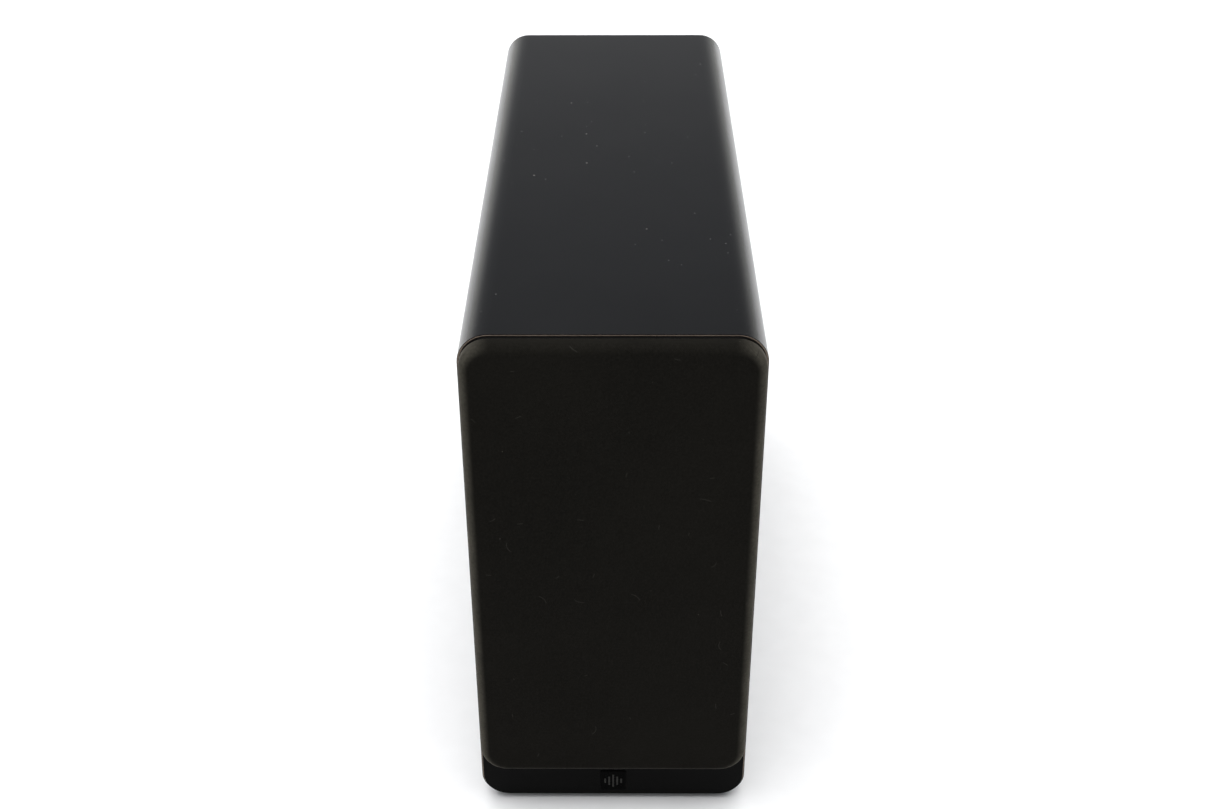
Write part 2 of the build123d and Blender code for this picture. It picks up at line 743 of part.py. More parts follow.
def main():
    os.makedirs("parts", exist_ok=True)
    parts = {
        "cabinet_wrap": cabinet_wrap(),
        "cabinet_sleeve": cabinet_sleeve(),
        "front_baffle": front_baffle(),
        "rear_panel": rear_panel(),
        "brace_front": brace(BRACE_YS[0]),
        "brace_rear": brace(BRACE_YS[1]),
        "foot_front_left": foot(-1, -1),
        "foot_front_right": foot(1, -1),
        "foot_rear_left": foot(-1, 1),
        "foot_rear_right": foot(1, 1),
        "stand_inserts": stand_inserts(),
        "fascia": fascia(),
        "badge_plate": badge_plate(),
        "badge_emblem": badge_emblem(),
        "cabinet_magnets": cabinet_magnets(),
        "grille_frame": grille_frame(),
        "grille_cloth": grille_cloth(),
        "grille_magnets": grille_magnets(),
        "woofer_basket": on_front(woofer_basket(), WOOFER_Z),
        "woofer_gasket": on_front(woofer_gasket(), WOOFER_Z),
        "woofer_screws": on_front(woofer_screws(), WOOFER_Z),
        "woofer_surround": on_front(woofer_surround(), WOOFER_Z),
        "woofer_cone": on_front(woofer_cone(), WOOFER_Z),
        "woofer_dust_cap": on_front(woofer_dust_cap(), WOOFER_Z),
        "woofer_coil": on_front(woofer_coil(), WOOFER_Z),
        "woofer_spider": on_front(woofer_spider(), WOOFER_Z),
        "woofer_top_plate": on_front(woofer_top_plate(), WOOFER_Z),
        "woofer_magnet": on_front(woofer_magnet(), WOOFER_Z),
        "woofer_pole": on_front(woofer_pole(), WOOFER_Z),
        "woofer_terminals": on_front(woofer_terminals(), WOOFER_Z),
        "tweeter_faceplate": on_front(tweeter_faceplate(), TWEETER_Z),
        "tweeter_screws": on_front(tweeter_screws(), TWEETER_Z),
        "tweeter_dome": on_front(tweeter_dome(), TWEETER_Z),
        "tweeter_surround": on_front(tweeter_surround(), TWEETER_Z),
        "tweeter_coil": on_front(tweeter_coil(), TWEETER_Z),
        "tweeter_top_plate": on_front(tweeter_top_plate(), TWEETER_Z),
        "tweeter_magnet": on_front(tweeter_magnet(), TWEETER_Z),
        "tweeter_pole": on_front(tweeter_pole(), TWEETER_Z),
        "tweeter_terminals": on_front(tweeter_terminals(), TWEETER_Z),
        "terminal_cup": terminal_cup(),
        "rear_screws": rear_screws(),
        "stud_red": terminal_stud(-POST_SPACING / 2),
        "stud_black": terminal_stud(POST_SPACING / 2),
        "washer_red": clamp_washer(-POST_SPACING / 2),
        "washer_black": clamp_washer(POST_SPACING / 2),
        "cap_red": terminal_cap(-POST_SPACING / 2),
        "cap_black": terminal_cap(POST_SPACING / 2),
        "terminal_nuts": terminal_nuts(),
        "port": port(),
        "crossover_board": crossover_board(),
        "coil_large": on_board(air_coil(21.0, 8.0, 22.0), -22, 166),
        "coil_small": on_board(air_coil(14.0, 6.0, 14.0), 26, 172),
        "capacitor_large": on_board(film_capacitor(8.5, 34.0), -20, 133),
        "capacitor_small": on_board(film_capacitor(6.5, 26.0), 24, 146),
        "power_resistor": on_board(power_resistor(), 14, 90),
        "output_block": on_board(output_block(), BLOCK_X, BLOCK_Z),
        "woofer_cable": woofer_cable(),
        "tweeter_cable": tweeter_cable(),
        "cable_clips": cable_clips(),
        "damping_lining": damping_lining(),
    }
    for name, shape in parts.items():
        export_step(shape, f"parts/{name}.step")


main()
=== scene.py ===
import math

import bmesh
import bpy
from mathutils import Matrix, Vector, noise


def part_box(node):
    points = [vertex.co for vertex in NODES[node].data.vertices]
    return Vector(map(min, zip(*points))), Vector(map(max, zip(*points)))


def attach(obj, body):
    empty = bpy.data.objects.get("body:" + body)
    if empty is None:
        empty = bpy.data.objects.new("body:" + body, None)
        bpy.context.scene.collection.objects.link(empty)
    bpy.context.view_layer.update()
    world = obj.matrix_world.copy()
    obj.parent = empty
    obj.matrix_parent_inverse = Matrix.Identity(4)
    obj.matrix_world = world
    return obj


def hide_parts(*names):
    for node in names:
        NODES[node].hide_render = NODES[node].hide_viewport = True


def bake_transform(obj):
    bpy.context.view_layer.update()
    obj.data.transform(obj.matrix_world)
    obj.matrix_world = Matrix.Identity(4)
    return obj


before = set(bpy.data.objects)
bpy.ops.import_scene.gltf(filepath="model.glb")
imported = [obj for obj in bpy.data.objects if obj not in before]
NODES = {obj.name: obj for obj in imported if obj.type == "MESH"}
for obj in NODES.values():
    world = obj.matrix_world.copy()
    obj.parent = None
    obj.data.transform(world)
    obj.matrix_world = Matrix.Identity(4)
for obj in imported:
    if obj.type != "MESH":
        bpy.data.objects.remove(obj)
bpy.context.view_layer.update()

# Bookshelf speaker, in metres, in the CAD's frame: the front faces -Y and +Z is up.
MM = 0.001

# Camera, fitted to the photograph, placed from the middle of the cabinet's lower front edge
CAMERA_OFFSET = Vector((0.0021, -0.7331, 0.7697))
CAMERA_PITCH = math.radians(32.52)
CAMERA_YAW = math.radians(-0.414)
CAMERA_ROLL = math.radians(-0.193)
FOCAL_PX = 1572.8
IMAGE_W = 1214.0
SENSOR_MM = 36.0

# Studio light: radiances, the elevations in degrees they change between, and the left side's gain
SWEEP_LEVEL = 0.95
SWEEP_FADE = (4.0, 19.0)
SWEEP_TINT = (1.0, 1.0, 0.955)
CEILING_LEVEL = 0.275
CEILING_TINT = (0.965, 0.99, 1.045)
OVERHEAD_LEVEL = 3.4
OVERHEAD_RISE = (46.0, 62.0)
LEFT_GAIN = 0.3

FLOOR_HALF = 20.0
FLOOR_DROP = 0.2 * MM

# Reference boxes, planes and driver axes, read from the frame
WRAP_LO, WRAP_HI = (Vector(v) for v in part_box("cabinet_wrap"))
CLOTH_LO, CLOTH_HI = (Vector(v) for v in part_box("grille_cloth"))
Y_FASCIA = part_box("fascia")[0][1]


def centre_of(node):
    low, high = (Vector(v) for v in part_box(node))
    return (low + high) / 2


WOOFER_Z = centre_of("woofer_magnet").z
TWEETER_Z = centre_of("tweeter_magnet").z

# Grille cloth: its corner in front view, rounded edge and thickness, and the lip behind the frame
CLOTH_CORNER = 16.4 * MM
CLOTH_MIN_CORNER = 1.0 * MM
CLOTH_EDGE = 5.6 * MM
CLOTH_T = 0.25 * MM
LIP_WIDTH = 6.0 * MM
LIP_GAP = 0.32 * MM

# Its points: steps round the edge, each corner and each side, and the rings across the face, in
# from the outline and wider apart towards the middle
EDGE_STEPS = 12
CORNER_STEPS = 10
SIDE_STEPS = 24
FACE_RINGS_MM = (8, 11, 14, 17, 21, 26, 32, 39, 47, 56, 66, 75)

# Wadding on the walls of the middle chamber, its staples, and how far it may swell
LINING_LO, LINING_HI = (Vector(v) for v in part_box("damping_lining"))
LINING_T = 11 * MM
LINING_CORNER = 5 * MM
WALL_CLEARANCE = 0.4 * MM
WADDING_VOXEL = 5.5 * MM
STAPLE_YS = (-0.055, 0.025)
STAPLE_ZS = (0.105, 0.175, 0.245, 0.305)
STAPLE_XS = (-0.03, 0.03)
STAPLE_REACH = 22 * MM
STAPLE_DEPTH = 7 * MM
STAPLE_GRIP = 4
HELD_DEPTH = 0.4 * LINING_T
SWELL_FRAMES = 20
SWELL_CAP = 6 * MM
SWELL_CLOTH = {
    "quality": 4,
    "mass": 0.15,
    "tension_stiffness": 12,
    "compression_stiffness": 12,
    "shear_stiffness": 4,
    "bending_stiffness": 0.4,
    "use_pressure": True,
    "uniform_pressure_force": 4.0,
}
LUMP_SIZE = 14 * MM
LUMP_HEIGHT = 0.7 * MM
LUMP_FRACTAL = (0.6, 2.0, 4)

# Points round each turned ring
LATHE_STEPS = 128

# Half the largest curvature of a fibre of lint, per metre
LINT_BEND = 120.0

# How fast the cone's fine rings follow each other, in radians per metre out from its axis
CONE_RINGS = 5200.0


# Scene --------------------------------------------------------------------------------


def look_from(location, pitch, yaw, roll):
    """A camera matrix looking along +Y turned by yaw, tipped down by pitch and rolled."""
    ahead = Vector((math.sin(yaw), math.cos(yaw), 0))
    level = Vector((math.cos(yaw), -math.sin(yaw), 0))
    forward = ahead * math.cos(pitch) - Vector((0, 0, math.sin(pitch)))
    upright = level.cross(forward)
    right = level * math.cos(roll) + upright * math.sin(roll)
    up = upright * math.cos(roll) - level * math.sin(roll)
    turn = Matrix((right, up, -forward)).transposed()
    return Matrix.Translation(location) @ turn.to_4x4()


def make_camera():
    data = bpy.data.cameras.new("camera")
    data.sensor_width = SENSOR_MM
    data.lens = SENSOR_MM * FOCAL_PX / IMAGE_W
    camera = bpy.data.objects.new("camera", data)
    bpy.context.scene.collection.objects.link(camera)
    edge = Vector((0, WRAP_LO.y, WRAP_LO.z))
    camera.matrix_world = look_from(edge + CAMERA_OFFSET, CAMERA_PITCH, CAMERA_YAW, CAMERA_ROLL)
    bpy.context.scene.camera = camera


def make_studio():
    """A white sweep round the horizon, a dimmer ceiling above it and a broad soft light overhead."""
    world = bpy.data.worlds.new("studio")
    world.use_nodes = True
    tree = Nodes(world.node_tree)
    direction = tree.node("ShaderNodeTexCoord").outputs["Generated"]
    parts = tree.node("ShaderNodeSeparateXYZ", {0: direction}).outputs
    sweep = tree.ramp(parts[2], *sines(SWEEP_FADE), SWEEP_LEVEL, CEILING_LEVEL, "SMOOTHSTEP")
    overhead = tree.ramp(parts[2], *sines(OVERHEAD_RISE), 0.0, OVERHEAD_LEVEL, "SMOOTHSTEP")
    side = tree.ramp(parts[0], -1.0, 1.0, 1 + LEFT_GAIN, 1 - LEFT_GAIN)
    level = tree.maths("MULTIPLY", tree.maths("ADD", sweep, overhead), side)
    tint = tree.mix(tree.ramp(parts[2], *sines(SWEEP_FADE)), SWEEP_TINT, CEILING_TINT)
    tint = tree.mix(tree.ramp(parts[2], *sines(OVERHEAD_RISE)), tint, (1.0, 1.0, 1.0))
    background = world.node_tree.nodes["Background"]
    world.node_tree.links.new(tint, background.inputs["Color"])
    world.node_tree.links.new(level, background.inputs["Strength"])
    bpy.context.scene.world = world
    bpy.context.scene.view_settings.view_transform = "Standard"


def sines(elevations):
    """Sines of angles in degrees: a direction's z is the sine of its elevation."""
    return [math.sin(math.radians(angle)) for angle in elevations]


def make_floor():
    mesh = bpy.data.meshes.new("floor")
    build = bmesh.new()
    bmesh.ops.create_grid(build, x_segments=2, y_segments=2, size=FLOOR_HALF)
    build.to_mesh(mesh)
    build.free()
    floor = bpy.data.objects.new("floor", mesh)
    bpy.context.scene.collection.objects.link(floor)
    floor.location.z = -FLOOR_DROP
    shader = Material("floor_paper", (0.93, 0.93, 0.93), 0.9)
    shader.specular(0.1)
    grain = shader.noise(60, 3)
    shader.colour(shader.mix(shader.ramp(grain, 0.3, 0.7), (0.92, 0.92, 0.92), (0.94, 0.94, 0.94)))
    mesh.materials.append(shader.material)


# Materials ----------------------------------------------------------------------------


class Nodes:
    """Short calls for building a node tree."""

    def __init__(self, tree):
        self.tree = tree

    def node(self, kind, inputs=None, **settings):
        made = self.tree.nodes.new(kind)
        for key, value in settings.items():
            setattr(made, key, value)
        for key, value in (inputs or {}).items():
            if isinstance(value, bpy.types.NodeSocket):
                self.tree.links.new(value, made.inputs[key])
            else:
                made.inputs[key].default_value = value
        return made

    def ramp(self, value, low, high, start=0.0, end=1.0, kind="LINEAR"):
        inputs = {"Value": value, "From Min": low, "From Max": high, "To Min": start, "To Max": end}
        return self.node("ShaderNodeMapRange", inputs, interpolation_type=kind).outputs[0]

    def maths(self, operation, a, b=0.0):
        return self.node("ShaderNodeMath", {0: a, 1: b}, operation=operation).outputs[0]

    def vector_maths(self, operation, a, b):
        return self.node("ShaderNodeVectorMath", {0: a, 1: b}, operation=operation).outputs[0]

    def sum_of_products(self, a, b, c, d):
        return self.maths("ADD", self.maths("MULTIPLY", a, b), self.maths("MULTIPLY", c, d))

    def mix(self, factor, a, b):
        made = self.node("ShaderNodeMix", {"Factor": factor}, data_type="RGBA")
        for socket, value in (("A", a), ("B", b)):
            target = [s for s in made.inputs if s.name == socket and s.type == "RGBA"][0]
            if isinstance(value, bpy.types.NodeSocket):
                self.tree.links.new(value, target)
            else:
                target.default_value = (*value, 1)
        return [s for s in made.outputs if s.type == "RGBA"][0]


class Material(Nodes):
    """A procedural Principled material, built up a step at a time."""

    def __init__(self, name, base, roughness, metallic=0.0):
        self.material = bpy.data.materials.new(name)
        self.material.use_nodes = True
        super().__init__(self.material.node_tree)
        self.shader = self.tree.nodes["Principled BSDF"]
        self.shader.inputs["Base Color"].default_value = (*base, 1)
        self.shader.inputs["Roughness"].default_value = roughness
        self.shader.inputs["Metallic"].default_value = metallic
        self.coords = self.tree.nodes.new("ShaderNodeTexCoord").outputs["Object"]
        self.normal = None

    def specular(self, level):
        self.shader.inputs["Specular IOR Level"].default_value = level

    def coat(self, weight, roughness):
        self.shader.inputs["Coat Weight"].default_value = weight
        self.shader.inputs["Coat Roughness"].default_value = roughness

    def sheen(self, weight, roughness, tint=(1, 1, 1)):
        self.shader.inputs["Sheen Weight"].default_value = weight
        self.shader.inputs["Sheen Roughness"].default_value = roughness
        self.shader.inputs["Sheen Tint"].default_value = (*tint, 1)

    def stretched(self, scale):
        return self.vector_maths("MULTIPLY", self.coords, scale)

    def noise(self, scale, detail=2.0, vector=None):
        inputs = {"Vector": vector or self.coords, "Scale": scale, "Detail": detail}
        return self.node("ShaderNodeTexNoise", inputs).outputs["Fac"]

    def cells(self, scale):
        return self.node("ShaderNodeTexVoronoi", {"Vector": self.coords, "Scale": scale})

    def colour(self, socket):
        self.tree.links.new(socket, self.shader.inputs["Base Color"])

    def roughness(self, socket):
        self.tree.links.new(socket, self.shader.inputs["Roughness"])

    def bump(self, height, strength, distance):
        inputs = {"Height": height, "Strength": strength, "Distance": distance}
        if self.normal is not None:
            inputs["Normal"] = self.normal
        self.normal = self.node("ShaderNodeBump", inputs).outputs[0]
        self.tree.links.new(self.normal, self.shader.inputs["Normal"])

    def axis_distance(self, x, z):
        """Distance from an axis along Y through (x, z)."""
        dx = self.maths("SUBTRACT", self.part(0), x)
        dz = self.maths("SUBTRACT", self.part(2), z)
        return self.maths("SQRT", self.sum_of_products(dx, dx, dz, dz))

    def inset(self, aside, upward, half_w, half_h, corner):
        """Distance in from a rounded rectangle's outline, from the distances to its middle lines."""
        over_x = self.maths("SUBTRACT", aside, half_w - corner)
        over_z = self.maths("SUBTRACT", upward, half_h - corner)
        out_x = self.maths("MAXIMUM", over_x, 0.0)
        out_z = self.maths("MAXIMUM", over_z, 0.0)
        outside = self.maths("SQRT", self.sum_of_products(out_x, out_x, out_z, out_z))
        inside = self.maths("MINIMUM", self.maths("MAXIMUM", over_x, over_z), 0.0)
        return self.maths("SUBTRACT", corner, self.maths("ADD", outside, inside))

    def part(self, index):
        """One coordinate of the point: 0, 1 or 2 for x, y or z."""
        return self.node("ShaderNodeSeparateXYZ", {0: self.coords}).outputs[index]

    def dust(self, base, spacing, size, share, tone):
        """Sparse specks: one per cell of the given spacing, in a share of the cells."""
        found = self.cells(1 / spacing)
        near = self.ramp(found.outputs["Distance"], size / spacing * 0.6, size / spacing, 1.0, 0.0)
        picked = self.node("ShaderNodeSeparateColor", {0: found.outputs["Color"]}).outputs[0]
        chosen = self.maths("LESS_THAN", picked, share)
        return self.mix(self.maths("MULTIPLY", near, chosen), base, tone)

    def lint(self, base, spacing, reach, width, tone):
        """Sparse curved fibres in the XZ plane, one per cell, each turned and bent at random."""
        found = self.cells(1 / spacing)
        offset = self.vector_maths("SUBTRACT", self.coords, found.outputs["Position"])
        x, _, z = self.node("ShaderNodeSeparateXYZ", {0: offset}).outputs
        heading, bending, length = self.node("ShaderNodeSeparateColor", {0: found.outputs["Color"]}).outputs
        turn = self.maths("MULTIPLY", heading, 2 * math.pi)
        sine = self.maths("SINE", turn)
        cosine = self.maths("COSINE", turn)
        along = self.sum_of_products(x, cosine, z, sine)
        across = self.maths("SUBTRACT", self.maths("MULTIPLY", z, cosine), self.maths("MULTIPLY", x, sine))
        curvature = self.ramp(bending, 0.0, 1.0, -LINT_BEND, LINT_BEND)
        bow = self.maths("MULTIPLY", self.maths("MULTIPLY", along, along), curvature)
        off_line = self.maths("ABSOLUTE", self.maths("SUBTRACT", across, bow))
        on_line = self.ramp(off_line, width / 2, width, 1.0, 0.0)
        half_length = self.maths("MULTIPLY", length, reach)
        within = self.maths("LESS_THAN", self.maths("ABSOLUTE", along), half_length)
        return self.mix(self.maths("MULTIPLY", on_line, within), base, tone)


def satin_foil():
    """The cabinet's satin black foil, with dust and a few scuffs on its front edge."""
    m = Material("satin_black_foil", (0.003, 0.003, 0.003), 0.3)
    m.specular(0.34)
    broad = m.noise(9, 3)
    base = m.mix(m.ramp(broad, 0.35, 0.65), (0.0014, 0.0015, 0.0018), (0.0022, 0.0023, 0.0027))
    base = m.dust(base, 20 * MM, 0.8 * MM, 0.5, (0.12, 0.115, 0.11))
    base = m.dust(base, 9.5 * MM, 0.6 * MM, 0.45, (0.075, 0.075, 0.075))
    ragged = m.maths("ADD", m.part(1), m.ramp(m.noise(800, 5), 0.2, 0.8, -1.6 * MM, 0.6 * MM))
    at_edge = m.ramp(ragged, WRAP_LO.y, WRAP_LO.y + 0.6 * MM, 1.0, 0.0)
    scuffed = m.maths("MULTIPLY", at_edge, m.ramp(m.noise(75, 4), 0.60, 0.70))
    m.colour(m.mix(scuffed, base, (0.10, 0.088, 0.072)))
    smudge = m.noise(22, 5)
    m.roughness(m.ramp(smudge, 0.3, 0.7, 0.215, 0.245))
    grain = m.noise(1500, 2, m.stretched((1, 0.45, 1)))
    m.bump(grain, 0.12, 0.2 * MM)
    m.bump(m.noise(260, 2), 0.05, 0.3 * MM)
    return m.material


def fibreboard():
    """The sleeve's board: bare at its front edge and painted black at the rear."""
    m = Material("cut_fibreboard", (0.16, 0.11, 0.075), 0.85)
    m.specular(0.2)
    broad = m.noise(40, 3)
    fine = m.noise(900, 4)
    base = m.mix(m.ramp(broad, 0.3, 0.7), (0.17, 0.130, 0.104), (0.22, 0.172, 0.138))
    flecks = m.mix(m.ramp(fine, 0.4, 0.7), base, (0.30, 0.24, 0.19))
    ragged = m.maths("ADD", m.part(1), m.ramp(m.noise(300, 3), 0.0, 1.0, -0.6 * MM, 0.6 * MM))
    painted = m.ramp(ragged, WRAP_HI.y - 1.6 * MM, WRAP_HI.y - 1.2 * MM)
    m.colour(m.mix(painted, flecks, (0.010, 0.010, 0.010)))
    m.bump(fine, 0.5, 0.3 * MM)
    return m.material


def panel_fibreboard():
    m = Material("panel_fibreboard", (0.40, 0.27, 0.16), 0.85)
    m.specular(0.2)
    fine = m.noise(700, 4)
    base = m.mix(m.ramp(m.noise(25, 3), 0.3, 0.7), (0.36, 0.24, 0.14), (0.44, 0.30, 0.18))
    m.colour(m.mix(m.ramp(fine, 0.45, 0.75), base, (0.54, 0.39, 0.25)))
    m.bump(fine, 0.4, 0.3 * MM)
    return m.material


def rear_board():
    m = Material("black_faced_board", (0.02, 0.02, 0.02), 0.5)
    m.specular(0.25)
    m.colour(m.mix(m.ramp(m.noise(14, 4), 0.3, 0.7), (0.016, 0.016, 0.017), (0.024, 0.024, 0.025)))
    m.roughness(m.ramp(m.noise(30, 4), 0.3, 0.7, 0.42, 0.55))
    m.bump(m.noise(1100, 3), 0.2, 0.2 * MM)
    return m.material


def fascia_lacquer():
    m = Material("fascia_lacquer", (0.003, 0.003, 0.003), 0.22)
    m.specular(0.04)
    base = m.mix(m.ramp(m.noise(18, 3), 0.3, 0.7), (0.0012, 0.0012, 0.0011), (0.0017, 0.0017, 0.0016))
    m.colour(m.dust(base, 19 * MM, 0.3 * MM, 0.4, (0.05, 0.05, 0.05)))
    m.roughness(m.ramp(m.noise(40, 3), 0.3, 0.7, 0.18, 0.27))
    m.bump(m.noise(380, 2), 0.04, 0.2 * MM)
    return m.material


def badge_lacquer():
    m = Material("badge_lacquer", (0.001, 0.001, 0.001), 0.14)
    m.specular(0.02)
    base = m.mix(m.ramp(m.noise(220, 2), 0.3, 0.7), (0.0008, 0.0008, 0.0008), (0.0014, 0.0014, 0.0014))
    m.colour(base)
    m.bump(m.noise(900, 2), 0.03, 0.1 * MM)
    return m.material


def brushed(name, tone, roughness, scale=(40, 40, 2200)):
    """Metal with fine lines across the axis of the largest scale."""
    m = Material(name, tone, roughness, 1.0)
    lines = m.noise(1, 3, m.stretched(scale))
    darker = tuple(c * 0.72 for c in tone)
    m.colour(m.mix(m.ramp(lines, 0.3, 0.7), darker, tone))
    m.roughness(m.ramp(lines, 0.3, 0.7, roughness * 0.8, roughness * 1.3))
    m.bump(lines, 0.15, 0.1 * MM)
    return m.material


def plated(name, tone, roughness=0.2):
    m = Material(name, tone, roughness, 1.0)
    tarnish = m.noise(300, 4)
    darker = tuple(c * 0.8 for c in tone)
    m.colour(m.mix(m.ramp(tarnish, 0.45, 0.75), tone, darker))
    m.roughness(m.ramp(tarnish, 0.35, 0.7, roughness * 0.8, roughness * 1.5))
    m.bump(m.noise(1400, 2), 0.05, 0.1 * MM)
    return m.material


def moulded(name, tone, roughness=0.5, grain=900, strength=0.25):
    """Injection-moulded plastic with a fine spark-eroded grain."""
    m = Material(name, tone, roughness)
    m.specular(0.35)
    lighter = tuple(c * 1.3 + 0.002 for c in tone)
    m.colour(m.mix(m.ramp(m.noise(35, 3), 0.3, 0.7), tone, lighter))
    m.roughness(m.ramp(m.noise(120, 3), 0.3, 0.7, roughness * 0.88, min(1.0, roughness * 1.15)))
    cells = m.cells(grain).outputs["Distance"]
    m.bump(cells, strength, 0.15 * MM)
    return m.material


def powder_coat(name, tone, roughness=0.45):
    m = Material(name, tone, roughness)
    m.specular(0.35)
    m.colour(m.mix(m.ramp(m.noise(50, 3), 0.3, 0.7), tone, tuple(c * 1.4 for c in tone)))
    m.bump(m.noise(700, 3), 0.3, 0.2 * MM)
    return m.material


def rubber(name, tone=(0.014, 0.014, 0.014), roughness=0.62):
    m = Material(name, tone, roughness)
    bloom = m.noise(70, 4)
    m.colour(m.mix(m.ramp(bloom, 0.4, 0.75), tone, tuple(c * 1.7 + 0.004 for c in tone)))
    m.roughness(m.ramp(bloom, 0.3, 0.7, roughness * 0.85, roughness * 1.15))
    m.bump(m.noise(1300, 2), 0.12, 0.1 * MM)
    return m.material


def woven(name, dark, light, pitch, roughness=0.9, depth=0.18 * MM, strength=0.8):
    """Plain weave in the XZ plane: a material with its bump, and its colour for the caller to link."""
    m = Material(name, light, roughness)
    turn = 2 * math.pi / pitch
    across = m.maths("MULTIPLY", m.part(0), turn)
    along = m.maths("MULTIPLY", m.part(2), turn)
    checks = m.maths("MULTIPLY", m.maths("SINE", across), m.maths("SINE", along))
    height = m.ramp(checks, -1.0, 1.0)
    uneven = m.noise(180, 3)
    shade = m.maths("ADD", m.maths("MULTIPLY", height, 0.7), m.maths("MULTIPLY", uneven, 0.5))
    m.bump(height, strength, depth)
    return m, m.mix(m.ramp(shade, 0.2, 1.0), dark, light)


def cloth_wear_and_highlight(m):
    """How worn the cloth is, with a painted highlight where its rounded edge catches the light: along the
    rounded edge at both sides, and faintly along the top.
    """
    half = (CLOTH_HI - CLOTH_LO) / 2
    middle = (CLOTH_HI + CLOTH_LO) / 2
    aside = m.maths("ABSOLUTE", m.maths("SUBTRACT", m.part(0), middle.x))
    upward = m.maths("ABSOLUTE", m.maths("SUBTRACT", m.part(2), middle.z))
    inset = m.inset(aside, upward, half.x, half.z, CLOTH_CORNER)
    # Painted highlight on the rounded edges, mixed with real wear: strongest at the sides, faint along the
    # top, where it is all painted highlight
    side_wear_and_highlight = m.ramp(aside, half.x - 20 * MM, half.x - 3 * MM, kind="SMOOTHSTEP")
    top_highlight = m.ramp(m.part(2), middle.z, middle.z + 10 * MM, 0.0, 0.05)
    wear_and_highlight = m.ramp(inset, 1.0 * MM, 6.2 * MM, 1.25, 0.0, "SMOOTHSTEP")
    wear_and_highlight = m.maths("MULTIPLY", wear_and_highlight, m.maths("MAXIMUM", top_highlight, side_wear_and_highlight))
    patchy = m.ramp(m.noise(55, 4), 0.25, 0.75, 0.6, 1.05)
    fuzzy = m.ramp(m.noise(650, 3), 0.3, 0.7, 0.7, 1.15)
    return m.maths("MULTIPLY", wear_and_highlight, m.maths("MULTIPLY", patchy, fuzzy))


def grille_fabric():
    """Black cloth, with the dust, lint and wear that it collects, and a painted highlight along its rounded
    side and top edges.
    """
    m, base = woven("grille_weave", (0.0022, 0.0020, 0.0016), (0.0062, 0.0057, 0.0044), 1.1 * MM)
    broad = m.ramp(m.noise(12, 3), 0.35, 0.68)
    base = m.mix(broad, base, m.mix(0.5, base, (0.0070, 0.0064, 0.0050)))
    fluff = m.ramp(m.noise(700, 3), 0.40, 0.72, 0.0, 0.5)
    base = m.mix(fluff, base, (0.0100, 0.0092, 0.0077))
    # Lighter along the rounded side and top edges: painted highlight, partly real wear
    base = m.mix(cloth_wear_and_highlight(m), base, (0.048, 0.0445, 0.0360))
    base = m.dust(base, 34 * MM, 0.55 * MM, 0.4, (0.12, 0.11, 0.10))
    base = m.lint(base, 36 * MM, 3.6 * MM, 0.26 * MM, (0.021, 0.020, 0.017))
    base = m.dust(base, 16 * MM, 0.35 * MM, 0.3, (0.06, 0.055, 0.045))
    m.colour(base)
    m.specular(0.05)
    m.sheen(0.16, 0.25, (1.0, 0.93, 0.82))
    return m.material


def cone_paper():
    m = Material("coated_paper_cone", (0.022, 0.021, 0.021), 0.55)
    radius = m.axis_distance(0, WOOFER_Z)
    rings = m.maths("SINE", m.maths("MULTIPLY", radius, CONE_RINGS))
    fibres = m.noise(420, 5)
    m.colour(m.mix(m.ramp(fibres, 0.35, 0.7), (0.017, 0.0165, 0.016), (0.036, 0.035, 0.033)))
    m.bump(rings, 0.12, 0.1 * MM)
    m.bump(fibres, 0.35, 0.2 * MM)
    return m.material


def windings(name, tone, pitch):
    """Enamelled wire wound about Y axes: fine lines along the winding's depth."""
    m = Material(name, tone, 0.28, 1.0)
    wires = m.maths("SINE", m.maths("MULTIPLY", m.part(1), 2 * math.pi / pitch))
    darker = tuple(c * 0.35 for c in tone)
    uneven = m.noise(220, 3)
    lit = m.maths("ADD", m.ramp(wires, -1, 1, 0.0, 0.75), m.maths("MULTIPLY", uneven, 0.35))
    m.colour(m.mix(lit, darker, tone))
    m.bump(wires, 0.6, pitch * 0.3)
    return m.material


def circuit_board():
    m = Material("phenolic_board", (0.30, 0.19, 0.08), 0.45)
    fibres = m.noise(500, 4, m.stretched((1, 1, 0.2)))
    m.colour(m.mix(m.ramp(fibres, 0.3, 0.7), (0.27, 0.165, 0.065), (0.36, 0.24, 0.11)))
    m.bump(fibres, 0.15, 0.1 * MM)
    return m.material


def ferrite():
    m = Material("sintered_ferrite", (0.045, 0.046, 0.05), 0.55)
    pits = m.noise(900, 4)
    m.colour(m.mix(m.ramp(pits, 0.35, 0.7), (0.03, 0.031, 0.034), (0.075, 0.076, 0.08)))
    m.bump(pits, 0.4, 0.2 * MM)
    return m.material


def film_wrap():
    m = Material("capacitor_film", (0.62, 0.44, 0.06), 0.3)
    m.coat(0.4, 0.15)
    wrinkle = m.noise(160, 3, m.stretched((0.3, 1, 1)))
    m.colour(m.mix(m.ramp(wrinkle, 0.3, 0.7), (0.56, 0.39, 0.05), (0.68, 0.50, 0.09)))
    m.bump(wrinkle, 0.2, 0.3 * MM)
    return m.material


def cement():
    m = Material("cement_body", (0.72, 0.70, 0.64), 0.8)
    grain = m.noise(800, 5)
    m.colour(m.mix(m.ramp(grain, 0.3, 0.7), (0.64, 0.62, 0.56), (0.78, 0.76, 0.70)))
    m.bump(grain, 0.5, 0.3 * MM)
    return m.material


def spider_cloth():
    m, base = woven("impregnated_cloth", (0.24, 0.12, 0.02), (0.52, 0.30, 0.07), 0.9 * MM, 0.7, 0.2 * MM)
    m.specular(0.12)
    m.colour(m.mix(m.ramp(m.noise(60, 3), 0.3, 0.7), base, (0.40, 0.22, 0.05)))
    return m.material


